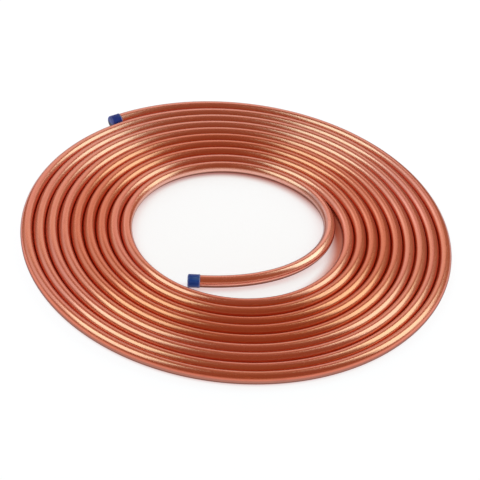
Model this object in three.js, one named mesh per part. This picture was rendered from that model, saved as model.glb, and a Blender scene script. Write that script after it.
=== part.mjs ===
// A coil of soft copper tube: one length wound flat in a single spiral layer, with a plastic cap on each end.
// Units are millimetres and +Z is up. The origin is on the floor, under the middle of the coil's outline.
// The tube starts at its outer end, at the back left, and runs clockwise and inwards as seen from above. Its
// last stretch leaves the turns and lies across the bore.
import * as THREE from 'three';

// ---- The tube ----
const TUBE_DIAMETER = 19.05; // 3/4 in
const TUBE_WALL = 1.07;
const OUTSIDE_SIDES = 12; // a multiple of four, so that a flat faces down and a flat faces each neighbour
const BORE_SIDES = 8;
const OUTSIDE_AREA = OUTSIDE_SIDES * (TUBE_DIAMETER / 2) ** 2 * Math.tan(Math.PI / OUTSIDE_SIDES);
const METAL_AREA = Math.PI * TUBE_WALL * (TUBE_DIAMETER - TUBE_WALL);

// ---- The winding ----
const TURN_GAP = 0.35; // the air that springback leaves between two turns
const FIRST_TURN_RADIUS = 343.4; // from the coil's axis to the middle of the tube, where the first turn starts
const STEPS_PER_TURN = 28; // a multiple of four
const TURNS = 9 + 6 / STEPS_PER_TURN; // from there to where the tail leaves
const FIRST_TURN_ANGLE = 90 + (3 * 360) / STEPS_PER_TURN; // degrees from +X: three steps to the left of the back

// ---- The two ends ----
const END_LEAD = 20; // both ends are straight for this length, so that the caps slide on
const OUTER_END_GAP = 0.9; // between the outer cap and the turn beside it
const OUTER_SPRING_TURN = 0.14; // the part of a turn over which the outer end comes back to the coil
const INNER_END_GAP = 7.5; // between the inner cap and the turn beside it
const INNER_END_ANGLE = -114.6; // degrees from +X to where the tail ends, in front and to the left
const INNER_END_TURN = 30; // degrees by which the tail's end points out towards that turn
const TAIL_START_PULL = 0.78; // how long the tail keeps each end's direction, as a share of the last turn's radius
const TAIL_END_PULL = 1.14;
const TAIL_STEPS = 12;

// ---- The caps ----
const CAP_CLEARANCE = 0.3; // to the tube, all round and at its end
const CAP_WALL = 0.6;
const CAP_END_WALL = 1.4;
const CAP_DEPTH = 17; // how much of the tube it covers
const CAP_EDGE_RADIUS = 2.4; // round the closed end
const CAP_EDGE_STEPS = 4;
const CAP_LIP = 0.2; // the bead round the mouth stands out by this
const CAP_LIP_WIDTH = 1.6;

const TUBE_RADIUS = TUBE_DIAMETER / 2;
const PITCH = TUBE_DIAMETER + TURN_GAP;
const CAP_BORE_RADIUS = TUBE_RADIUS + CAP_CLEARANCE;
const CAP_RADIUS = CAP_BORE_RADIUS + CAP_WALL;
const CAP_LIP_RADIUS = CAP_RADIUS + CAP_LIP;
const CAP_LENGTH = CAP_DEPTH + CAP_CLEARANCE + CAP_END_WALL;
const END_LIFT = CAP_LIP_RADIUS - TUBE_RADIUS; // the caps lie on the floor and hold the tube's ends off it
const OUTER_SPRING = END_LIFT - TURN_GAP + OUTER_END_GAP; // so far does the outer end stand off its place

const COPPER = { color: 0xc4714c, roughness: 0.32, metalness: 1.0 };
const BLUE_PLASTIC = { color: 0x1f4fb4, roughness: 0.45, metalness: 0.0 };

/** The spiral's radius after a number of turns, with the stand-off at the outer end. */
function spiralRadius(turns) {
  const standOff = OUTER_SPRING * (1 - THREE.MathUtils.smoothstep(turns, 0, OUTER_SPRING_TURN));
  return FIRST_TURN_RADIUS - PITCH * turns + standOff;
}

/** The middle of the tube after a number of turns. */
function spiralPoint(turns) {
  const angle = THREE.MathUtils.degToRad(FIRST_TURN_ANGLE) - 2 * Math.PI * turns;
  const lift = END_LIFT * (1 - THREE.MathUtils.smoothstep(turns, 0, OUTER_SPRING_TURN));
  const radius = spiralRadius(turns);
  return new THREE.Vector3(radius * Math.cos(angle), radius * Math.sin(angle), TUBE_RADIUS + lift);
}

/** The direction of the tube after a number of turns. */
function spiralTangent(turns) {
  const reach = 1e-4;
  return spiralPoint(turns + reach).sub(spiralPoint(turns - reach)).normalize();
}

/** The turns, each one pitch inside the last. */
class SpiralStretch extends THREE.Curve {
  getPoint(t, target = new THREE.Vector3()) {
    return target.copy(spiralPoint(TURNS * t));
  }

  getTangent(t, target = new THREE.Vector3()) {
    return target.copy(spiralTangent(TURNS * t));
  }
}

/** Several stretches end to end. Each takes its own number of steps, so that turns side by side step together. */
class TubeRoute extends THREE.Curve {
  constructor(stretches) {
    super();
    this.stretches = stretches;
    this.steps = stretches.reduce((sum, stretch) => sum + stretch.steps, 0);
  }

  /** The stretch at t, and how far along it t is. */
  locate(t) {
    let station = t * this.steps;
    for (const { curve, steps } of this.stretches) {
      if (station <= steps) {
        return [curve, station / steps];
      }
      station -= steps;
    }
    return [this.stretches.at(-1).curve, 1];
  }

  getPoint(t, target = new THREE.Vector3()) {
    const [curve, part] = this.locate(t);
    return curve.getPoint(part, target);
  }

  getTangent(t, target = new THREE.Vector3()) {
    const [curve, part] = this.locate(t);
    return curve.getTangent(part, target);
  }

  getUtoTmapping(u) {
    return u;
  }

  /** Frames that keep the section upright, so that one of its flats stays underneath all the way. */
  computeFrenetFrames(segments) {
    const up = new THREE.Vector3(0, 0, 1);
    const tangents = Array.from({ length: segments + 1 }, (_, i) => this.getTangent(i / segments));
    const binormals = tangents.map((tangent) => tangent.clone().cross(up).normalize());
    const normals = binormals.map((binormal, i) => binormal.clone().cross(tangents[i]));
    return { tangents, normals, binormals };
  }
}

/** The straight piece at an end: from one point, for the lead's length, in a direction. */
function lead(from, direction) {
  return new THREE.LineCurve3(from, from.clone().addScaledVector(direction, END_LEAD));
}

/** The radius of the innermost turn in this direction from the coil's axis. */
function innermostRadius(angle) {
  const fromStart = (THREE.MathUtils.degToRad(FIRST_TURN_ANGLE) - angle) / (2 * Math.PI);
  const partTurn = THREE.MathUtils.euclideanModulo(fromStart, 1);
  return spiralRadius(partTurn + Math.floor(TURNS - partTurn));
}

/** The tail: one sweep from the last turn across the bore, and a straight end beside the innermost turn. */
function tailStretches() {
  const angle = THREE.MathUtils.degToRad(INNER_END_ANGLE);
  const heading = angle - Math.PI / 2 + THREE.MathUtils.degToRad(INNER_END_TURN);
  const radius = innermostRadius(angle) - TUBE_RADIUS - INNER_END_GAP - CAP_LIP_RADIUS;
  const endHeight = TUBE_RADIUS + END_LIFT;
  const end = new THREE.Vector3(radius * Math.cos(angle), radius * Math.sin(angle), endHeight);
  const endDirection = new THREE.Vector3(Math.cos(heading), Math.sin(heading), 0);
  const leadStart = end.addScaledVector(endDirection, -END_LEAD);
  const start = spiralPoint(TURNS);
  const sweep = new THREE.CubicBezierCurve3(
    start,
    start.clone().addScaledVector(spiralTangent(TURNS), TAIL_START_PULL * spiralRadius(TURNS)),
    leadStart.clone().addScaledVector(endDirection, -TAIL_END_PULL * spiralRadius(TURNS)),
    leadStart,
  );
  return [
    { curve: sweep, steps: TAIL_STEPS },
    { curve: lead(leadStart, endDirection), steps: 1 },
  ];
}

/** The whole tube's middle line, from the outer end to the inner one. */
function tubeRoute() {
  const outerDirection = spiralTangent(0).setZ(0).normalize();
  const outerEnd = spiralPoint(0).addScaledVector(outerDirection, -END_LEAD);
  return new TubeRoute([
    { curve: lead(outerEnd, outerDirection), steps: 1 },
    { curve: new SpiralStretch(), steps: Math.round(TURNS * STEPS_PER_TURN) },
    ...tailStretches(),
  ]);
}

/** A regular polygon of this area with a flat across the first axis. */
function polygon(PathClass, area, sides) {
  const cornerRadius = Math.sqrt((2 * area) / (sides * Math.sin((2 * Math.PI) / sides)));
  const corners = Array.from({ length: sides }, (_, i) => {
    const angle = ((i + 0.5) * 2 * Math.PI) / sides;
    return new THREE.Vector2(cornerRadius * Math.cos(angle), cornerRadius * Math.sin(angle));
  });
  return new PathClass(corners);
}

/** The copper tube, hollow from end to end. Its outer flats lie on the round tube, and its metal has the real area. */
function copperTube(route) {
  const section = polygon(THREE.Shape, OUTSIDE_AREA, OUTSIDE_SIDES);
  section.holes.push(polygon(THREE.Path, OUTSIDE_AREA - METAL_AREA, BORE_SIDES));
  return new THREE.ExtrudeGeometry(section, {
    steps: route.steps,
    extrudePath: route,
    bevelEnabled: false,
    curveSegments: 1,
  });
}

/** The cap's outline in half section: radius, then height above the tube's end, which is at zero. */
function capOutline() {
  const mouth = -CAP_DEPTH;
  const top = CAP_LENGTH - CAP_DEPTH;
  const points = [
    new THREE.Vector2(0, CAP_CLEARANCE),
    new THREE.Vector2(CAP_BORE_RADIUS, CAP_CLEARANCE),
    new THREE.Vector2(CAP_BORE_RADIUS, mouth),
    new THREE.Vector2(CAP_LIP_RADIUS, mouth),
    new THREE.Vector2(CAP_LIP_RADIUS, mouth + CAP_LIP_WIDTH),
    new THREE.Vector2(CAP_RADIUS, mouth + CAP_LIP_WIDTH + CAP_LIP),
  ];
  for (let i = 0; i <= CAP_EDGE_STEPS; i += 1) {
    const angle = ((i / CAP_EDGE_STEPS) * Math.PI) / 2;
    const radius = CAP_RADIUS - CAP_EDGE_RADIUS * (1 - Math.cos(angle));
    points.push(new THREE.Vector2(radius, top - CAP_EDGE_RADIUS * (1 - Math.sin(angle))));
  }
  points.push(new THREE.Vector2(0, top));
  return points;
}

/** A cap pushed over the tube's end at a point, facing out along a level direction. */
function endCap(tubeEnd, outward) {
  const flatToCorner = 1 / Math.cos(Math.PI / OUTSIDE_SIDES);
  const cap = new THREE.LatheGeometry(capOutline(), OUTSIDE_SIDES, Math.PI / OUTSIDE_SIDES);
  cap.scale(flatToCorner, 1, flatToCorner);
  const side = new THREE.Vector3(outward.y, -outward.x, 0);
  const frame = new THREE.Matrix4().makeBasis(side, outward, new THREE.Vector3(0, 0, 1));
  cap.applyMatrix4(frame.setPosition(tubeEnd));
  return cap;
}

/** A named mesh with a finish of its own. */
function piece(name, geometry, finish) {
  const mesh = new THREE.Mesh(geometry, new THREE.MeshStandardMaterial(finish));
  mesh.name = name;
  return mesh;
}

/** The coil with its two caps, moved so that its box stands on the floor over the origin. */
function buildCoil() {
  const route = tubeRoute();
  const coil = new THREE.Group();
  coil.name = 'copper_tube_coil';
  coil.add(
    piece('copper_tube', copperTube(route), COPPER),
    piece('outer_end_cap', endCap(route.getPoint(0), route.getTangent(0).negate()), BLUE_PLASTIC),
    piece('inner_end_cap', endCap(route.getPoint(1), route.getTangent(1)), BLUE_PLASTIC),
  );
  const box = new THREE.Box3().setFromObject(coil);
  const middle = box.getCenter(new THREE.Vector3());
  for (const mesh of coil.children) {
    mesh.geometry.translate(-middle.x, -middle.y, -box.min.z);
  }
  return coil;
}

export default buildCoil();
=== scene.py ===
"""Looks for a coil of soft copper tube: one length wound flat in a single spiral layer, with blue end caps.

Units are metres and +Z is up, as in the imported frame. The tube is modelled straight, with its own drawn
lines and stains laid out along it, and is then wound along the same route as the frame's solid.
"""

import bisect
import itertools
import logging
import math
from dataclasses import dataclass, field
from enum import Enum
from functools import lru_cache

import bmesh
import bpy
from mathutils import Matrix, Vector
from mathutils.geometry import interpolate_bezier


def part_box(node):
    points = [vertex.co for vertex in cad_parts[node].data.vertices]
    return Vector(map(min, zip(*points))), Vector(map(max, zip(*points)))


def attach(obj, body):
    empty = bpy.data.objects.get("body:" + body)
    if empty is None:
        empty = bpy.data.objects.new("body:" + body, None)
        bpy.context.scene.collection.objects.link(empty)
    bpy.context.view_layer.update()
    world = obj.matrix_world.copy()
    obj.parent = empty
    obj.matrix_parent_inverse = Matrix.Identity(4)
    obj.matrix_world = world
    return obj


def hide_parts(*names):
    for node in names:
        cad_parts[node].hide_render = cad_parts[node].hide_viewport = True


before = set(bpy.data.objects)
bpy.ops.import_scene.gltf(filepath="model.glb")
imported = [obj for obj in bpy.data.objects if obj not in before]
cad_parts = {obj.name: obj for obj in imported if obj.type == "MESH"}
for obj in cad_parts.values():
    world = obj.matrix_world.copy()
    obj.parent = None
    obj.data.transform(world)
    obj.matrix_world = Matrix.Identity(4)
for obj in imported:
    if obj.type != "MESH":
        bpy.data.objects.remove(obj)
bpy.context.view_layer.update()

BODY = "root"
MM = 0.001
UP = Vector((0.0, 0.0, 1.0))
SOLID_STEPS = 28  # the solid's steps in a turn, on which the spiral starts and ends

Triple = tuple[float, float, float]
Colour = tuple[float, float, float]
Span = tuple[float, float]

log = logging.getLogger("copper_tube_coil")


# ---- Shader nodes written as expressions ----


class Value:
    """A socket's value, so that shader maths reads as Python arithmetic."""

    def __init__(self, graph: "Graph", socket: bpy.types.NodeSocket | None) -> None:
        """Wraps one output socket of a graph."""
        self.graph = graph
        self.socket = socket

    def _maths(self, operation: str, *terms: "Value | float") -> "Value":
        """Adds one Math node for these terms."""
        inputs = dict(enumerate(terms))
        return self.graph.node("ShaderNodeMath", {"operation": operation}, inputs)

    def __add__(self, other: "Value | float") -> "Value":
        """This value plus another."""
        return self._maths("ADD", self, other)

    def __sub__(self, other: "Value | float") -> "Value":
        """This value less another."""
        return self._maths("SUBTRACT", self, other)

    def __rsub__(self, other: float) -> "Value":
        """A number less this value."""
        return self._maths("SUBTRACT", other, self)

    def __mul__(self, other: "Value | float") -> "Value":
        """This value times another."""
        return self._maths("MULTIPLY", self, other)

    def __truediv__(self, other: "Value | float") -> "Value":
        """This value over another."""
        return self._maths("DIVIDE", self, other)

    __radd__ = __add__
    __rmul__ = __mul__

    def fraction(self) -> "Value":
        """What is left of this value above the whole number below it."""
        return self._maths("FRACT", self)

    def arctan2(self, other: "Value") -> "Value":
        """The angle whose tangent is this value over another, in radians."""
        return self._maths("ARCTAN2", self, other)

    def between(self, low: float, high: float) -> "Value":
        """A smooth step from 0 at low to 1 at high.

        Args:
            low: the value at which the step starts.
            high: the value at which it ends; it may be the smaller one.

        Returns:
            The step, held at its ends outside that range.
        """
        inputs = {"Value": self, "From Min": low, "From Max": high}
        return self.graph.node("ShaderNodeMapRange", {"interpolation_type": "SMOOTHSTEP"}, inputs)


class Graph:
    """One node tree that is built from expressions."""

    def __init__(self, tree: bpy.types.NodeTree) -> None:
        """Empties the tree and starts again."""
        self.tree = tree
        tree.nodes.clear()

    def node(
        self,
        kind: str,
        settings: dict | None = None,
        inputs: dict | None = None,
        output: int | str = 0,
    ) -> Value:
        """Adds a node.

        Args:
            kind: the node's type.
            settings: its properties, which are set first.
            inputs: the values or links of its sockets, by name or number.
            output: which of its outputs to hand back.

        Returns:
            The chosen output.
        """
        made = self.tree.nodes.new(kind)
        for name, setting in (settings or {}).items():
            setattr(made, name, setting)
        for key, value in (inputs or {}).items():
            if isinstance(value, Value):
                self.tree.links.new(value.socket, made.inputs[key])
            else:
                made.inputs[key].default_value = value
        return Value(self, made.outputs[output]) if made.outputs else Value(self, None)

    def attribute(self, name: str, output: str = "Vector") -> Value:
        """A mesh attribute, as a vector or as the output of that name."""
        return self.node("ShaderNodeAttribute", {"attribute_name": name}, output=output)

    def object_place(self) -> Value:
        """The place in the piece's own coordinates."""
        return self.node("ShaderNodeTexCoord", output="Object")

    def part(self, vector: Value, axis: str) -> Value:
        """One of a vector's three parts: X, Y or Z."""
        return self.node("ShaderNodeSeparateXYZ", inputs={0: vector}, output=axis)

    def less(self, vector: Value, start: "Vector | Triple") -> Value:
        """The vector from this start."""
        return self.node("ShaderNodeVectorMath", {"operation": "SUBTRACT"}, {0: vector, 1: start})

    def length(self, vector: Value) -> Value:
        """How long a vector is."""
        return self.node("ShaderNodeVectorMath", {"operation": "LENGTH"}, {0: vector}, output="Value")

    def blend(self, low: "Value | Colour", high: "Value | Colour", share: Value) -> Value:
        """Mixes two colours.

        Args:
            low: the colour where share is 0.
            high: the colour where share is 1.
            share: how far to go from one to the other.

        Returns:
            The mixed colour.
        """
        colours = [c if isinstance(c, Value) else (*c, 1.0) for c in (low, high)]
        inputs = {0: share, 6: colours[0], 7: colours[1]}
        return self.node("ShaderNodeMix", {"data_type": "RGBA"}, inputs, output=2)

    def stretched(self, place: Value, scale: Triple) -> Value:
        """Scales a place along each axis, so that a pattern on it is drawn out or squeezed."""
        return self.node("ShaderNodeVectorMath", {"operation": "MULTIPLY"}, {0: place, 1: scale})

    def noise(self, place: Value, detail: float = 2.0) -> Value:
        """Smooth noise from 0 to 1 whose features are about one unit of place across."""
        inputs = {"Vector": place, "Scale": 1.0, "Detail": detail, "Roughness": 0.5}
        return self.node("ShaderNodeTexNoise", {"noise_dimensions": "3D"}, inputs)

    def bump(self, height: Value, distance: float) -> Value:
        """The normal of a surface that stands up to this far out where height is 1."""
        inputs = {"Height": height, "Strength": 1.0, "Distance": distance}
        return self.node("ShaderNodeBump", inputs=inputs)

    def surface(self, kind: str, inputs: dict) -> None:
        """Makes one shader, with these sockets, the material's surface."""
        self.node("ShaderNodeOutputMaterial", inputs={"Surface": self.node(kind, inputs=inputs)})


def new_material(name: str) -> tuple[bpy.types.Material, Graph]:
    """Makes an empty material.

    Args:
        name: the material's name.

    Returns:
        The material and the graph of its nodes.
    """
    material = bpy.data.materials.new(name)
    material.use_nodes = True
    return material, Graph(material.node_tree)


# ---- Finishes ----


@dataclass(frozen=True)
class TubeZones:
    """Where the copper's zones lie: each span runs from where a zone starts to where it is full."""

    # Round the section, in tube radii up and outwards from its middle
    flank: Span = (0.80, 0.15)
    outward: Span = (0.2, 0.6)
    inward: Span = (-0.1, -0.5)
    # Where the painted side shade lies: the first turn's outer side and the tail's inward side
    handled_height: Span = (0.50, 0.05)
    handled_inward: Span = (-0.15, -0.55)
    # Where the painted foot shade lies: low on the first turn, lower at the front, and at the feet of the
    # innermost turn and the tail
    foot: Span = (0.72, 0.38)
    foot_drop: float = 0.82
    innermost_foot: Span = (-0.05, -0.35)
    loose_foot: Span = (0.15, -0.20)
    # Along the tube, and towards the back of the coil, in metres
    fade: float = 40 * MM
    to_middle: Span = (6.6, 9.2)
    past_middle: Span = (13.8, 12.0)
    to_back: Span = (0.0, 260 * MM)
    # How much a zone gives way to another
    open_share: float = 0.9
    tail_side_shade: float = 0.8
    less_foot_shade_behind: float = 0.5


@dataclass(frozen=True)
class TubeMasks:
    """How far each zone covers a point of the tube, from 0 to 1."""

    flank: Value
    covered: Value
    innermost: Value
    loose: Value
    handled: Value
    browned: Value
    back: Value
    middle: Value

    @classmethod
    def of(cls, graph: Graph, route: "TubeRoute", zones: TubeZones) -> "TubeMasks":
        """Lays the masks out on the tube's "unwound" attribute.

        Args:
            graph: the nodes of the material.
            route: the middle line of the tube.
            zones: where each zone starts and ends.

        Returns:
            The masks.
        """
        unwound = graph.attribute("unwound")
        radius, fade = route.winding.tube_radius, zones.fade
        across = graph.part(unwound, "X") / radius
        up = graph.part(unwound, "Y") / radius
        along = graph.part(unwound, "Z")
        flank = up.between(*zones.flank)
        first_turn = along.between(route.first_turn_end, route.first_turn_end - fade)
        outermost = across.between(*zones.outward) * first_turn
        loose = along.between(route.tail_start - fade, route.tail_start + fade)
        last_turn = along.between(route.last_turn_start - fade, route.last_turn_start + fade)
        innermost = across.between(*zones.inward) * last_turn * (1 - loose)
        # Painted side shade: a darker band down the first turn's outer side and the tail's inward side
        handled = up.between(*zones.handled_height) * outermost
        handled += across.between(*zones.handled_inward) * loose * zones.tail_side_shade
        north = graph.part(graph.object_place(), "Y")
        nearest, furthest = zones.to_back
        behind = north.between(-furthest, nearest)
        # Painted foot shade: low on the first turn's outer side, lower towards the front and lighter behind,
        # and at the feet of the innermost turn's inner side and the tail
        browned = (up + (1 - behind) * zones.foot_drop).between(*zones.foot) * outermost
        browned *= 1 - behind * zones.less_foot_shade_behind
        browned += up.between(*zones.innermost_foot) * innermost + up.between(*zones.loose_foot) * loose
        return cls(
            flank=flank,
            covered=flank * (1 - (innermost + loose) * zones.open_share),
            innermost=innermost,
            loose=loose,
            handled=handled,
            browned=browned,
            back=north.between(nearest, furthest),
            middle=along.between(*zones.to_middle) * along.between(*zones.past_middle),
        )


@dataclass(frozen=True)
class DrawnMarks:
    """The marks of drawing and storing, laid out along the unwound tube."""

    line: float = 0.5 * MM
    line_length: float = 160 * MM
    die_mark: float = 2 * MM
    die_mark_length: float = 1280 * MM
    patch: float = 12 * MM
    patch_length: float = 220 * MM
    stain: float = 6 * MM
    stain_length: float = 33 * MM
    stained: Span = (0.56, 0.72)

    @staticmethod
    def _along(graph: Graph, width: float, length: float, detail: float = 2.0) -> Value:
        """Noise on the unwound tube whose features have this width and length."""
        place = graph.stretched(graph.attribute("unwound"), (1 / width, 1 / width, 1 / length))
        return graph.noise(place, detail)

    def lines(self, graph: Graph) -> Value:
        """Fine lines left by the drawing die."""
        return self._along(graph, self.line, self.line_length, detail=3)

    def die_marks(self, graph: Graph) -> Value:
        """Broader and longer ridges of the same kind."""
        return self._along(graph, self.die_mark, self.die_mark_length)

    def patches(self, graph: Graph) -> Value:
        """Slow changes of tone from the annealing."""
        return self._along(graph, self.patch, self.patch_length, detail=3)

    def stains(self, graph: Graph) -> Value:
        """Small dull stains."""
        return self._along(graph, self.stain, self.stain_length, detail=4).between(*self.stained)


@dataclass(frozen=True)
class CopperFinish:
    """Bright soft-annealed copper under a thin film, with painted shade on the flanks between turns and at
    the feet, a painted darker outer side on the first turn and the tail, and painted sheen at the back, on
    the tail and on the bore side.
    """

    warm: Colour = (0.84, 0.205, 0.055)
    rosy: Colour = (0.84, 0.190, 0.080)
    golden: Colour = (0.78, 0.160, 0.030)
    # pale, tail_sheen and bore_side_sheen are painted sheen: paler copper at the back, over the tail and on
    # the innermost turn's inner flank
    pale: Colour = (0.85, 0.283, 0.172)
    tail_sheen: Colour = (1.0, 0.34, 0.21)
    bore_side_sheen: Colour = (0.80, 0.34, 0.24)
    # tarnish_and_shade: real tarnish in stains and dark lines, and painted shade on the flanks between turns
    tarnish_and_shade: Colour = (0.80, 0.09, 0.025)
    # handled: painted shade, a darker band down the first turn's outer side and the tail's inward side
    handled: Colour = (0.37, 0.115, 0.070)
    # browned: painted dark shade at the feet of the first turn, the innermost turn's inner side and the tail
    browned: Colour = (0.17, 0.065, 0.045)
    edge_tint: Colour = (0.25, 0.15, 0.12)
    # How far each tone covers the ones before it
    warm_patches: Span = (0.36, 0.64)
    dark_lines: Span = (0.45, 0.75)
    pale_share: float = 0.8
    golden_hold: float = 0.5
    shade_between_turns: float = 0.42
    tarnish_in_stains: float = 0.20
    tarnish_in_lines: float = 0.12
    handled_share: float = 0.9
    browned_share: float = 0.85
    browned_oxide: float = 0.9
    # The surface, and the clear film on it
    roughness: float = 0.25
    stain_roughness: float = 0.10
    line_roughness: float = 0.12
    covered_roughness: float = 0.12
    browned_roughness: float = 0.30
    drawn_out: float = 0.4
    along_the_tube: float = 0.25
    film_index: float = 2.45
    film_roughness: float = 0.22
    film_worn_between_turns: float = 0.6
    film_worn_in_middle: float = 0.25
    line_height: float = 0.7
    die_mark_height: float = 0.6
    line_depth: float = 0.004 * MM
    zones: TubeZones = field(default_factory=TubeZones)
    marks: DrawnMarks = field(default_factory=DrawnMarks)

    def material(self, route: "TubeRoute") -> bpy.types.Material:
        """Makes the copper.

        Args:
            route: the middle line of the tube.

        Returns:
            A material that reads the tube's "unwound" attribute: across, up and along, in metres.
        """
        material, graph = new_material("drawn_copper")
        masks = TubeMasks.of(graph, route, self.zones)
        lines, stains = self.marks.lines(graph), self.marks.stains(graph)
        roughness = self.roughness + stains * self.stain_roughness + (lines - 0.5) * self.line_roughness
        # Where the painted foot shade lies the copper is also rougher, less metallic and without film
        roughness += masks.covered * self.covered_roughness + masks.browned * self.browned_roughness
        film = 1 - masks.covered * self.film_worn_between_turns
        film *= 1 - masks.middle * self.film_worn_in_middle
        height = lines * self.line_height + self.marks.die_marks(graph) * self.die_mark_height
        graph.surface(
            "ShaderNodeBsdfPrincipled",
            {
                "Base Color": self._colour(graph, masks, lines, stains),
                "Metallic": 1 - masks.browned * self.browned_oxide,
                "Roughness": roughness,
                "Anisotropic": self.drawn_out,
                "Anisotropic Rotation": self.along_the_tube,
                "Specular Tint": (*self.edge_tint, 1.0),
                "Coat Weight": film * (1 - masks.browned),
                "Coat IOR": self.film_index,
                "Coat Roughness": self.film_roughness,
                "Normal": graph.bump(height, self.line_depth),
            },
        )
        return material

    def _colour(self, graph: Graph, masks: TubeMasks, lines: Value, stains: Value) -> Value:
        """The metal's colour: tones along the coil with painted sheen, then tarnish with painted shade
        between turns, and painted side and foot shade over them.

        Args:
            graph: the nodes of the material.
            masks: how far each zone covers a point.
            lines: the fine drawn lines.
            stains: the small dull stains.

        Returns:
            The colour.
        """
        tone = graph.blend(self.rosy, self.warm, self.marks.patches(graph).between(*self.warm_patches))
        tone = graph.blend(tone, self.golden, masks.middle)
        # Painted sheen: paler at the back of the coil, brighter over the tail, paler on the innermost turn's
        # inner flank
        tone = graph.blend(tone, self.pale, masks.back * (self.pale_share - self.golden_hold * masks.middle))
        tone = graph.blend(tone, self.tail_sheen, masks.loose)
        tone = graph.blend(tone, self.bore_side_sheen, masks.innermost * masks.flank)
        # Painted shade on the flanks between turns, and real tarnish in stains and dark lines
        tarnish_and_shade_cover = masks.covered * self.shade_between_turns + stains * self.tarnish_in_stains
        tarnish_and_shade_cover += lines.between(*self.dark_lines) * self.tarnish_in_lines
        tone = graph.blend(tone, self.tarnish_and_shade, tarnish_and_shade_cover)
        # Painted side shade, then painted foot shade, over the tone
        tone = graph.blend(tone, self.handled, masks.handled * self.handled_share)
        return graph.blend(tone, self.browned, masks.browned * self.browned_share)


@dataclass(frozen=True)
class PlasticFinish:
    """Moulded polyethylene: fine texture, rubs, a painted highlight on the rim and closed edge, and painted
    shade on the crown, underside and closed end.
    """

    name: str
    colour: Colour
    rubbed: Colour
    # pale paints a highlight on the rim and closed edge; shaded paints shade on the crown, underside and
    # closed end
    pale: Colour = (0.45, 0.45, 0.80)
    shaded: Colour = (0.012, 0.008, 0.040)
    # Heights in cap radii, the rim in lip widths, and the closed edge in its own radii
    underside: Span = (1.2, 0.3)
    crown: Span = (1.65, 2.0)
    rim: Span = (1.2, 0.9)
    edge: Span = (1.0, 0.5)
    edge_past: float = 0.3
    end_face: float = 0.1
    rubs: Span = (0.50, 0.75)
    rub_share: float = 0.5
    rim_share: float = 0.7
    edge_share: float = 0.20
    underside_share: float = 0.90
    crown_share: float = 0.40
    roughness: float = 0.32
    rub_roughness: float = 0.14
    grain_roughness: float = 0.10
    shine: float = 0.35
    grain: float = 0.5 * MM
    cloud: float = 6 * MM
    cloud_height: float = 0.8
    texture_depth: float = 0.03 * MM

    def material(self, cap: "EndCap") -> bpy.types.Material:
        """Makes the plastic, on object coordinates and the cap's "from_mouth" attribute.

        Args:
            cap: the cap that wears it.

        Returns:
            The plastic.
        """
        material, graph = new_material(self.name)
        place = graph.object_place()
        grain = graph.noise(graph.stretched(place, (1 / self.grain,) * 3), detail=2)
        cloud = graph.noise(graph.stretched(place, (1 / self.cloud,) * 3), detail=3)
        rub = cloud.between(*self.rubs)
        roughness = self.roughness + rub * self.rub_roughness + (grain - 0.5) * self.grain_roughness
        graph.surface(
            "ShaderNodeBsdfPrincipled",
            {
                "Base Color": self._colour(graph, cap, rub),
                "Roughness": roughness,
                "Specular IOR Level": self.shine,
                "Normal": graph.bump(grain + cloud * self.cloud_height, self.texture_depth),
            },
        )
        return material

    def _colour(self, graph: Graph, cap: "EndCap", rub: Value) -> Value:
        """The plastic's colour, lit along its rim and closed edge and shaded above and below.

        Args:
            graph: the nodes of the material.
            cap: the cap that wears it.
            rub: where it is rubbed.

        Returns:
            The colour.
        """
        height = graph.part(graph.object_place(), "Z") / cap.radius
        from_mouth = graph.attribute("from_mouth", output="Fac")
        closed, rounding = cap.depth + cap.top, cap.edge_radius
        rim = from_mouth.between(*(share * cap.lip_width for share in self.rim))
        edge = from_mouth.between(*(closed - share * rounding for share in self.edge))
        edge *= from_mouth.between(closed, closed - self.edge_past * rounding)
        end_face = from_mouth.between(closed - self.end_face * rounding, closed)
        # Painted shade on the underside, crown and closed end; painted highlight along the rim and closed
        # edge
        shade = height.between(*self.underside) * self.underside_share
        shade += (height.between(*self.crown) + end_face) * self.crown_share
        blue = graph.blend(self.colour, self.rubbed, rub * self.rub_share)
        lit = graph.blend(blue, self.pale, rim * self.rim_share + edge * self.edge_share)
        return graph.blend(lit, self.shaded, shade)


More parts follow.
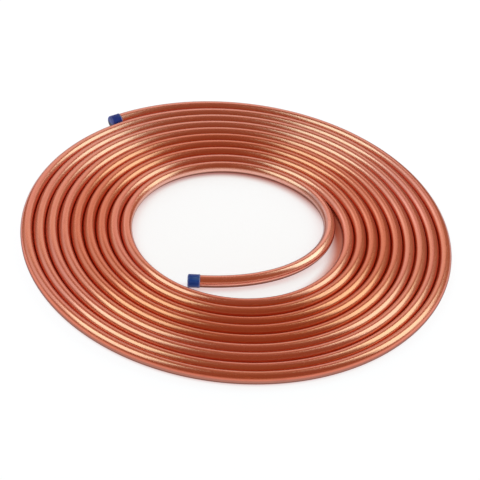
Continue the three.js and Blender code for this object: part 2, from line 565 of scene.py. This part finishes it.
@dataclass(frozen=True)
class FloorFinish:
    """A plain white floor whose own glow keeps shadows faint; inside the coil the glow fades towards the
    turns as a painted soft shadow, and a dim red glow and reddish colour under the coil paint the copper's
    reflected light.
    """

    colour: Colour = (0.47, 0.69, 0.785)
    # copper_bounce_colour and copper_bounce_glow paint the copper's reddish reflected light on the floor
    # under the coil
    copper_bounce_colour: Colour = (0.90, 0.36, 0.29)
    far_colour: Colour = (0.12, 0.14, 0.185)
    roughness: float = 0.6
    # The pink inner glow over a bluish floor colour fades out across inner_edge, moved by inner_shift, as a
    # painted soft shadow near the turns
    inner_glow: Colour = (0.655, 0.515, 0.515)
    copper_bounce_glow: Colour = (0.12, 0.016, 0.005)
    outer_glow: Colour = (0.91, 0.91, 0.91)
    inner_edge: Span = (175 * MM, 152 * MM)
    inner_shift: Triple = (-7 * MM, -6 * MM, 0.0)
    outer_edge: Span = (-5 * MM, 8 * MM)

    def material(self, winding: "Winding", axis: Vector) -> bpy.types.Material:
        """Makes the white floor.

        Args:
            winding: the spiral that lies on it.
            axis: the foot of the coil's axis.

        Returns:
            A material whose white glow stops under the turns, so that none of it shows through between them.
        """
        material, graph = new_material("white_floor")
        spoke = graph.less(graph.object_place(), axis)
        # Painted soft shadow near the inner turns, and painted reflected copper light under the coil
        inside = graph.length(graph.less(spoke, self.inner_shift)).between(*self.inner_edge)
        outside = self._past_first_turn(graph, spoke, winding).between(*self.outer_edge)
        colour = graph.blend(self.copper_bounce_colour, self.colour, inside)
        glow = graph.blend(self.copper_bounce_glow, self.inner_glow, inside)
        graph.surface(
            "ShaderNodeBsdfPrincipled",
            {
                "Base Color": graph.blend(colour, self.far_colour, outside),
                "Roughness": self.roughness,
                "Emission Color": graph.blend(glow, self.outer_glow, outside),
                "Emission Strength": 1.0,
            },
        )
        return material

    @staticmethod
    def _past_first_turn(graph: Graph, spoke: Value, winding: "Winding") -> Value:
        """How far a point lies outside the middle of the first turn, in metres.

        Args:
            graph: the nodes of the material.
            spoke: the point's place from the foot of the coil's axis.
            winding: the spiral.

        Returns:
            The distance, below zero inside.
        """
        whole_turn = 2 * math.pi
        bearing = graph.part(spoke, "Y").arctan2(graph.part(spoke, "X")) / whole_turn
        since_start = (winding.angle(0.0) / whole_turn - bearing).fraction()
        return graph.length(spoke) + winding.pitch * since_start - winding.first_radius


@dataclass(frozen=True)
class BackdropFinish:
    """Plain white paper, evenly lit."""

    glow: Colour = (0.97, 0.97, 0.97)

    def material(self) -> bpy.types.Material:
        """Makes the paper.

        Returns:
            A material that glows alike all over.
        """
        material, graph = new_material("backdrop_paper")
        graph.surface("ShaderNodeEmission", {"Color": (*self.glow, 1.0)})
        return material


# ---- The route of the tube ----


def smoothstep(value: float, low: float, high: float) -> float:
    """A smooth step from 0 at low to 1 at high."""
    part = min(max((value - low) / (high - low), 0.0), 1.0)
    return part * part * (3 - 2 * part)


@dataclass(frozen=True)
class Winding:
    """The flat spiral, measured in turns from where it starts, clockwise and inwards as seen from above."""

    tube_radius: float = 19.05 / 2 * MM
    pitch: float = 19.4 * MM
    first_radius: float = 343.4 * MM
    first_angle: float = 90 + 3 * 360 / SOLID_STEPS
    turns: float = 9 + 6 / SOLID_STEPS
    end_lift: float = 1.1 * MM
    outer_spring: float = 1.65 * MM
    spring_turn: float = 0.14
    back_angle: float = 90.0
    back_rides: tuple[float, ...] = (0.9, 0.0, 0.8, 1.0, 1.3, 2.1, 2.1, 1.6, 0.1, 0.0)
    front_rides: tuple[float, ...] = (2.1, 0.0, 1.6, 0.0, 0.2, 1.6, 0.0, 2.1, 1.2, 0.0)
    tangent_reach: float = 1e-4

    def radius(self, turns: float) -> float:
        """How far the middle of the tube is from the coil's axis."""
        stand_off = self.outer_spring * (1 - smoothstep(turns, 0.0, self.spring_turn))
        return self.first_radius - self.pitch * turns + stand_off

    def angle(self, turns: float) -> float:
        """The direction from the coil's axis, in radians from +X."""
        return math.radians(self.first_angle) - 2 * math.pi * turns

    def turns_at_angle(self, degrees: float) -> float:
        """The part of the first turn after which the tube has come round to this direction."""
        return ((self.first_angle - degrees) / 360) % 1.0

    def ride(self, turns: float) -> float:
        """How far the tube rides above the floor: each turn lies in its own way at back and front.

        Args:
            turns: how far along the spiral.

        Returns:
            The ride, in metres, eased from each half turn to the next.
        """
        rides = [ride for pair in zip(self.back_rides, self.front_rides) for ride in pair]
        half_turns = 2 * (turns - self.turns_at_angle(self.back_angle))
        first = min(max(math.floor(half_turns), 0), len(rides) - 2)
        share = smoothstep(half_turns, first, first + 1)
        settled = smoothstep(turns, 0.0, self.spring_turn)
        return (rides[first] * (1 - share) + rides[first + 1] * share) * settled * MM

    def point(self, turns: float) -> Vector:
        """The middle of the tube.

        Args:
            turns: how far along the spiral.

        Returns:
            Its place from the foot of the coil's axis.
        """
        lift = self.end_lift * (1 - smoothstep(turns, 0.0, self.spring_turn))
        radius, angle = self.radius(turns), self.angle(turns)
        height = self.tube_radius + lift + self.ride(turns)
        return Vector((radius * math.cos(angle), radius * math.sin(angle), height))

    def tangent(self, turns: float) -> Vector:
        """The direction in which the tube runs."""
        before, after = turns - self.tangent_reach, turns + self.tangent_reach
        return (self.point(after) - self.point(before)).normalized()

    def length(self) -> float:
        """The length of tube in the spiral."""
        return 2 * math.pi * self.turns * (self.first_radius - self.pitch * self.turns / 2)

    def turns_at(self, along: float) -> float:
        """The number of turns that this length of tube makes."""
        spread = self.first_radius**2 - self.pitch * along / math.pi
        return (self.first_radius - math.sqrt(spread)) / self.pitch


@dataclass(frozen=True)
class Tail:
    """Where the inner end leaves the turns and how it lies across the bore."""

    lead: float = 20 * MM
    end_angle: float = -114.6
    end_turn: float = 30.0
    end_gap: float = 7.5 * MM
    start_pull: float = 0.78
    end_pull: float = 1.14
    samples: int = 200


class TubeRoute:
    """The middle line of the tube by length: a straight lead, the spiral, the tail's sweep, and a lead."""

    station_reach: float = 0.5 * MM
    length_digits: int = 7

    def __init__(self, winding: Winding, tail: Tail, cap_radius: float, axis: Vector) -> None:
        """Lays the route out.

        Args:
            winding: the spiral.
            tail: the inner end.
            cap_radius: the widest radius of a cap, which keeps the tail's end off the turns.
            axis: the foot of the coil's axis in the frame.
        """
        self.winding = winding
        self.axis = axis
        self.lead = tail.lead
        self.outer_direction = self._level(winding.tangent(0.0))
        self.outer_end = winding.point(0.0) - self.outer_direction * tail.lead
        angle = math.radians(tail.end_angle)
        heading = angle - math.pi / 2 + math.radians(tail.end_turn)
        part = winding.turns_at_angle(tail.end_angle)
        beside = winding.radius(part + math.floor(winding.turns - part))
        radius = beside - winding.tube_radius - tail.end_gap - cap_radius
        height = winding.tube_radius + winding.end_lift
        self.inner_end = Vector((radius * math.cos(angle), radius * math.sin(angle), height))
        self.inner_direction = Vector((math.cos(heading), math.sin(heading), 0.0))
        self.sweep = self._sweep(tail)
        steps = [(b - a).length for a, b in itertools.pairwise(self.sweep)]
        self.sweep_lengths = [0.0, *itertools.accumulate(steps)]
        self.first_turn_end = self.lead + 2 * math.pi * (winding.first_radius - winding.pitch / 2)
        self.tail_start = self.lead + winding.length()
        self.last_turn_start = self.tail_start - 2 * math.pi * winding.radius(winding.turns - 0.5)
        self.length = self.tail_start + self.sweep_lengths[-1] + self.lead

    @staticmethod
    def _level(direction: Vector) -> Vector:
        """The level part of a direction, as a unit vector."""
        return Vector((direction.x, direction.y, 0.0)).normalized()

    def _sweep(self, tail: Tail) -> list[Vector]:
        """Curves the tail from the last turn to its straight end.

        Args:
            tail: the inner end.

        Returns:
            Points along the curve.
        """
        turns = self.winding.turns
        start = self.winding.point(turns)
        last_radius = self.winding.radius(turns)
        end = self.inner_end - self.inner_direction * self.lead
        leaving = start + self.winding.tangent(turns) * tail.start_pull * last_radius
        arriving = end - self.inner_direction * tail.end_pull * last_radius
        return interpolate_bezier(start, leaving, arriving, end, tail.samples)

    def _middle(self, along: float) -> Vector:
        """The middle of the tube.

        Args:
            along: the length from its outer end.

        Returns:
            Its place from the foot of the coil's axis.
        """
        if along <= self.lead:
            return self.outer_end + self.outer_direction * along
        along -= self.lead
        if along <= self.winding.length():
            return self.winding.point(self.winding.turns_at(along))
        along -= self.winding.length()
        if along >= self.sweep_lengths[-1]:
            over = along - self.sweep_lengths[-1] - self.lead
            return self.inner_end + self.inner_direction * over
        first = bisect.bisect_right(self.sweep_lengths, along) - 1
        share = along - self.sweep_lengths[first]
        share /= self.sweep_lengths[first + 1] - self.sweep_lengths[first]
        return self.sweep[first].lerp(self.sweep[first + 1], share)

    @lru_cache(maxsize=None)
    def station(self, along: float) -> Matrix:
        """The tube's own axes at a length: outwards, up and along.

        Args:
            along: the length from its outer end.

        Returns:
            The axes, with the tube's middle as their place.
        """
        before, after = along - self.station_reach, along + self.station_reach
        forward = (self._middle(after) - self._middle(before)).normalized()
        out = UP.cross(forward).normalized()
        axes = Matrix((out, forward.cross(out), forward)).transposed().to_4x4()
        return Matrix.Translation(self.axis + self._middle(along)) @ axes

    def wind(self, straight: Vector) -> Vector:
        """Takes a point of the straight tube (across, up, along) to its place in the coil."""
        along = round(straight.z, self.length_digits)
        return self.station(along) @ Vector((straight.x, straight.y, 0.0))


# ---- The pieces ----


def finish_piece(bm: bmesh.types.BMesh, name: str, material: bpy.types.Material) -> bpy.types.Object:
    """Turns a bmesh into a smooth-shaded object at the origin.

    Args:
        bm: the mesh, in the frame's place; it is freed.
        name: the piece's name.
        material: its only material.

    Returns:
        The linked object.
    """
    for face in bm.faces:
        face.smooth = True
    mesh = bpy.data.meshes.new(name)
    bm.to_mesh(mesh)
    bm.free()
    mesh.materials.append(material)
    piece = bpy.data.objects.new(name, mesh)
    bpy.context.scene.collection.objects.link(piece)
    return piece


def register(piece: bpy.types.Object, node: str) -> None:
    """Puts a piece on the part's body in place of a CAD node, and reports it.

    Args:
        piece: the finished piece.
        node: the CAD node that it stands for.
    """
    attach(piece, BODY)
    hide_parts(node)
    triangles = sum(len(polygon.vertices) - 2 for polygon in piece.data.polygons)
    size = [round(length / MM, 1) for length in piece.dimensions]
    log.info("%s stands for %s: %d triangles, %s mm", piece.name, node, triangles, size)


@dataclass
class CopperTube:
    """The tube: round outside, open into its bore at both ends."""

    route: TubeRoute
    radius: float
    wall: float = 1.07 * MM
    sides: int = 32
    step: float = 9.8 * MM
    bore_depth: float = 30 * MM
    finish: CopperFinish = field(default_factory=CopperFinish)

    def straight(self) -> bmesh.types.BMesh:
        """Makes the tube before it is wound.

        Returns:
            Its mesh, with the section in X and Y, and the length along Z.
        """
        bm = bmesh.new()
        bmesh.ops.create_circle(bm, segments=self.sides, radius=self.radius)
        drawn = bmesh.ops.extrude_edge_only(bm, edges=bm.edges[:])["geom"]
        far = [item for item in drawn if isinstance(item, bmesh.types.BMVert)]
        bmesh.ops.translate(bm, verts=far, vec=UP * self.route.length)
        lengthwise = [edge for edge in bm.edges if edge.verts[0].co.z != edge.verts[1].co.z]
        cuts = math.ceil(self.route.length / self.step)
        bmesh.ops.subdivide_edges(bm, edges=lengthwise, cuts=cuts, use_grid_fill=True)
        rims = [edge for edge in bm.edges if edge.is_boundary]
        ends = bmesh.ops.holes_fill(bm, edges=rims, sides=self.sides)["faces"]
        bmesh.ops.recalc_face_normals(bm, faces=bm.faces[:])
        bmesh.ops.inset_individual(bm, faces=ends, thickness=self.wall)
        bmesh.ops.inset_individual(bm, faces=ends, depth=-self.bore_depth)
        return bm

    def build(self) -> bpy.types.Object:
        """Winds the straight tube along its route and keeps the straight place of every point.

        Returns:
            The tube.
        """
        bm = self.straight()
        unwound = bm.verts.layers.float_vector.new("unwound")
        for vert in bm.verts:
            vert[unwound] = vert.co
            vert.co = self.route.wind(vert.co)
        return finish_piece(bm, "drawn_tube", self.finish.material(self.route))


class TubeEnd(Enum):
    """The two ends of the tube, by the CAD node of the cap on each."""

    OUTER = "outer_end_cap"
    INNER = "inner_end_cap"


@dataclass
class EndCap:
    """A plastic cap: a thin cup with a bead round its mouth and a moulding gate in the middle of its end."""

    end: TubeEnd
    finish: PlasticFinish
    tube_radius: float = Winding.tube_radius
    clearance: float = 0.3 * MM
    wall: float = 0.6 * MM
    end_wall: float = 1.4 * MM
    depth: float = 17 * MM
    edge_radius: float = 2.4 * MM
    lip: float = 0.2 * MM
    lip_width: float = 1.6 * MM
    gate_radius: float = 2.2 * MM
    gate_taper: float = 0.8
    gate_depth: float = 0.35 * MM
    mouth_rounding: float = 0.3 * MM
    lip_rounding: float = 0.2 * MM
    gate_rounding: float = 0.15 * MM
    ring_reach: float = 0.01 * MM
    weld_reach: float = 0.001 * MM
    sides: int = 64

    @property
    def radius(self) -> float:
        """The cap's outside radius."""
        return self.tube_radius + self.clearance + self.wall

    @property
    def top(self) -> float:
        """The height of the closed end above the tube's end."""
        return self.clearance + self.end_wall

    def outline(self) -> list[Vector]:
        """Draws half the cap's section.

        Returns:
            Its corners, from the middle of its floor round to the middle of its closed end.
        """
        bore, mouth = self.tube_radius + self.clearance, -self.depth
        bead = self.radius + self.lip
        points = [
            (0.0, self.clearance),
            (bore, self.clearance),
            (bore, mouth),
            (bead, mouth),
            (bead, mouth + self.lip_width),
            (self.radius, mouth + self.lip_width + self.lip),
            (self.radius, self.top),
            (self.gate_radius, self.top),
            (self.gate_radius * self.gate_taper, self.top - self.gate_depth),
            (0.0, self.top - self.gate_depth),
        ]
        return [Vector((radius, 0.0, height)) for radius, height in points]

    def _round(self, bm: bmesh.types.BMesh, ring_at: Span, offset: float, segments: int) -> None:
        """Bevels a ring of edges.

        Args:
            bm: the cap's mesh.
            ring_at: the ring's radius and height.
            offset: how far the bevel reaches.
            segments: how many steps it has.
        """
        radius, height = ring_at

        def on_ring(vert: bmesh.types.BMVert) -> bool:
            """Whether a vertex lies on that ring."""
            away = Vector((math.hypot(vert.co.x, vert.co.y) - radius, vert.co.z - height))
            return away.length < self.ring_reach

        ring = [edge for edge in bm.edges if all(on_ring(vert) for vert in edge.verts)]
        bmesh.ops.bevel(
            bm,
            geom=ring,
            offset=offset,
            segments=segments,
            affect="EDGES",
            profile=0.5,
            material=-1,
        )

    def build(self, station: Matrix) -> bpy.types.Object:
        """Spins the cap and pushes it over the tube's end.

        Args:
            station: the place of the tube's end, with its third axis out of the tube.

        Returns:
            The cap.
        """
        bm = bmesh.new()
        verts = [bm.verts.new(point) for point in self.outline()]
        edges = [bm.edges.new(pair) for pair in itertools.pairwise(verts)]
        bmesh.ops.spin(
            bm,
            geom=verts + edges,
            axis=UP,
            cent=(0.0, 0.0, 0.0),
            angle=2 * math.pi,
            steps=self.sides,
            use_merge=True,
        )
        bmesh.ops.remove_doubles(bm, verts=bm.verts[:], dist=self.weld_reach)
        bead, mouth = self.radius + self.lip, -self.depth
        self._round(bm, (self.radius, self.top), self.edge_radius, segments=5)
        self._round(bm, (bead, mouth), self.mouth_rounding, segments=3)
        self._round(bm, (bead, mouth + self.lip_width), self.lip_rounding, segments=2)
        self._round(bm, (self.gate_radius, self.top), self.gate_rounding, segments=2)
        bmesh.ops.recalc_face_normals(bm, faces=bm.faces[:])
        from_mouth = bm.verts.layers.float.new("from_mouth")
        for vert in bm.verts:
            vert[from_mouth] = vert.co.z - mouth
        bm.transform(station)
        return finish_piece(bm, f"plastic_{self.end.value}", self.finish.material(self))


# ---- The studio ----


@dataclass(frozen=True)
class Softbox:
    """A softbox or card aimed at the middle of the coil, unseen by the camera."""

    name: str
    direction: Triple
    lengthwise: Triple
    distance: float
    length: float
    width: float
    radiance: float
    colour: Colour

    def hang(self) -> None:
        """Makes the lamp and aims it."""
        light = bpy.data.lights.new(self.name, "AREA")
        light.shape = "RECTANGLE"
        light.size = self.length
        light.size_y = self.width
        light.energy = self.radiance * math.pi * self.length * self.width
        light.color = self.colour
        lamp = bpy.data.objects.new(self.name, light)
        towards = Vector(self.direction).normalized()
        across = towards.cross(self.lengthwise).normalized()
        axes = Matrix((across.cross(towards), across, towards)).transposed()
        lamp.location = towards * self.distance
        lamp.rotation_mode = "QUATERNION"
        lamp.rotation_quaternion = axes.to_quaternion()
        lamp.visible_camera = False
        bpy.context.scene.collection.objects.link(lamp)
        log.info("softbox %s at %s", self.name, [round(c, 2) for c in lamp.location])


SOFTBOX_RIGHT = Softbox(
    name="softbox_right",
    direction=(1.575, 0.67, 1.68),
    lengthwise=(0.72, -0.58, -0.39),
    distance=2.4,
    length=2.1,
    width=1.15,
    radiance=2.05,
    colour=(0.555, 1.0, 0.92),
)
SOFTBOX_LEFT = Softbox(
    name="softbox_left",
    direction=(-1.25, -0.29, 2.04),
    lengthwise=(-0.46, -0.80, -0.39),
    distance=2.4,
    length=2.0,
    width=1.35,
    radiance=1.95,
    colour=(0.54, 1.0, 0.92),
)
BACK_CARD = Softbox(
    name="back_card",
    direction=(-0.22, 1.0, 0.48),
    lengthwise=(1.0, 0.18, 0.0),
    distance=1.13,
    length=1.30,
    width=0.75,
    radiance=0.58,
    colour=(0.84, 0.95, 1.0),
)


@dataclass(frozen=True)
class Surroundings:
    """The walls that the metal reflects: warm over a pale floor in front, redder behind, and one window."""

    front_wall: Colour = (0.30, 0.12, 0.06)
    front_floor: Colour = (0.80, 0.72, 0.64)
    back_wall: Colour = (0.42, 0.22, 0.145)
    window: Colour = (0.79, 0.75, 0.78)
    window_direction: Triple = (-0.66, 0.37, 0.65)
    skirting: Span = (0.42, 0.12)
    to_back_wall: Span = (0.10, 0.65)
    window_edge: Span = (0.89, 0.98)

    def world(self) -> bpy.types.World:
        """Makes the world, by direction alone.

        Returns:
            The world.
        """
        world = bpy.data.worlds.new("studio")
        world.use_nodes = True
        graph = Graph(world.node_tree)
        direction = graph.node("ShaderNodeTexCoord", output="Generated")
        low = graph.part(direction, "Z").between(*self.skirting)
        behind = graph.part(direction, "Y").between(*self.to_back_wall)
        towards = {0: direction, 1: self.window_direction}
        facing = graph.node("ShaderNodeVectorMath", {"operation": "DOT_PRODUCT"}, towards, output="Value")
        walls = graph.blend(graph.blend(self.front_wall, self.front_floor, low), self.back_wall, behind)
        room = graph.blend(walls, self.window, facing.between(*self.window_edge))
        background = graph.node("ShaderNodeBackground", inputs={"Color": room, "Strength": 1.0})
        graph.node("ShaderNodeOutputWorld", inputs={"Surface": background})
        return world


@dataclass(frozen=True)
class Studio:
    """A white floor and backdrop, two softboxes and a card, the surroundings, and the camera."""

    winding: Winding
    axis: Vector
    floor_half: float = 14.0
    floor_finish: FloorFinish = field(default_factory=FloorFinish)
    backdrop_radius: float = 13.0
    backdrop_height: float = 9.0
    backdrop_sides: int = 64
    backdrop_finish: BackdropFinish = field(default_factory=BackdropFinish)
    softboxes: tuple[Softbox, ...] = (SOFTBOX_RIGHT, SOFTBOX_LEFT, BACK_CARD)
    surroundings: Surroundings = field(default_factory=Surroundings)
    camera_distance: float = 2.377
    camera_elevation: float = 39.13
    camera_roll: float = 6.31
    camera_lens: float = 112.0
    aim_offset: Span = (10.0 * MM, -11.1 * MM)

    def lay_floor(self) -> None:
        """Makes the floor."""
        bm = bmesh.new()
        bmesh.ops.create_grid(bm, x_segments=1, y_segments=1, size=self.floor_half)
        floor = finish_piece(bm, "studio_floor", self.floor_finish.material(self.winding, self.axis))

    def stand_backdrop(self) -> None:
        """Stands a round white backdrop on the floor, seen from low down but with no part in the lighting."""
        bm = bmesh.new()
        wall = bmesh.ops.create_cone(
            bm,
            cap_ends=False,
            segments=self.backdrop_sides,
            radius1=self.backdrop_radius,
            radius2=self.backdrop_radius,
            depth=self.backdrop_height,
        )
        bmesh.ops.translate(bm, verts=wall["verts"], vec=UP * (self.backdrop_height / 2))
        backdrop = finish_piece(bm, "studio_backdrop", self.backdrop_finish.material())
        backdrop.visible_diffuse = backdrop.visible_glossy = backdrop.visible_shadow = False
        backdrop.visible_transmission = backdrop.visible_volume_scatter = False

    def light(self) -> None:
        """Hangs the softboxes and sets the surroundings."""
        for softbox in self.softboxes:
            softbox.hang()
        bpy.context.scene.world = self.surroundings.world()
        bpy.context.scene.view_settings.view_transform = "Standard"

    def place_camera(self) -> None:
        """Sets the camera at its viewing angle."""
        elevation = math.radians(self.camera_elevation)
        data = bpy.data.cameras.new("camera")
        data.lens = self.camera_lens
        camera = bpy.data.objects.new("camera", data)
        back = Vector((0.0, -math.cos(elevation), math.sin(elevation)))
        camera.location = self.axis + back * self.camera_distance
        aim = self.axis + Vector((*self.aim_offset, 0.0))
        level = (aim - camera.location).to_track_quat("-Z", "Y")
        roll = Matrix.Rotation(math.radians(self.camera_roll), 4, "Z")
        camera.rotation_mode = "QUATERNION"
        camera.rotation_quaternion = (level.to_matrix().to_4x4() @ roll).to_quaternion()
        bpy.context.scene.collection.objects.link(camera)
        bpy.context.scene.camera = camera


# ---- Putting it together ----


def coil_axis(winding: Winding) -> Vector:
    """Finds the foot of the coil's axis from how far the tube reaches to the right and to the back.

    Args:
        winding: the spiral.

    Returns:
        The foot, on the floor.
    """
    _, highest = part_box("copper_tube")
    right = winding.radius(winding.turns_at_angle(0.0)) + winding.tube_radius
    back = winding.radius(winding.turns_at_angle(90.0)) + winding.tube_radius
    return Vector((highest.x - right, highest.y - back, 0.0))


def main() -> None:
    """Builds the coil and its studio."""
    logging.basicConfig(level=logging.INFO, format="%(name)s: %(message)s")
    winding = Winding()
    outer_blue = PlasticFinish("navy_polyethylene", (0.020, 0.060, 0.44), (0.03, 0.09, 0.60))
    inner_blue = PlasticFinish("blue_polyethylene", (0.008, 0.085, 0.52), (0.03, 0.13, 0.65))
    outer_cap = EndCap(TubeEnd.OUTER, outer_blue)
    inner_cap = EndCap(TubeEnd.INNER, inner_blue)
    route = TubeRoute(winding, Tail(), inner_cap.radius + inner_cap.lip, coil_axis(winding))
    log.info("tube length %.3f m, coil axis at %s", route.length, [round(c, 5) for c in route.axis])
    tube = CopperTube(route, winding.tube_radius)
    register(tube.build(), "copper_tube")
    turned = Matrix.Rotation(math.pi, 4, "Y")
    register(outer_cap.build(route.station(0.0) @ turned), outer_cap.end.value)
    register(inner_cap.build(route.station(route.length)), inner_cap.end.value)
    studio = Studio(winding, route.axis)
    studio.lay_floor()
    studio.stand_backdrop()
    studio.light()
    studio.place_camera()


if __name__ == "__main__":
    main()
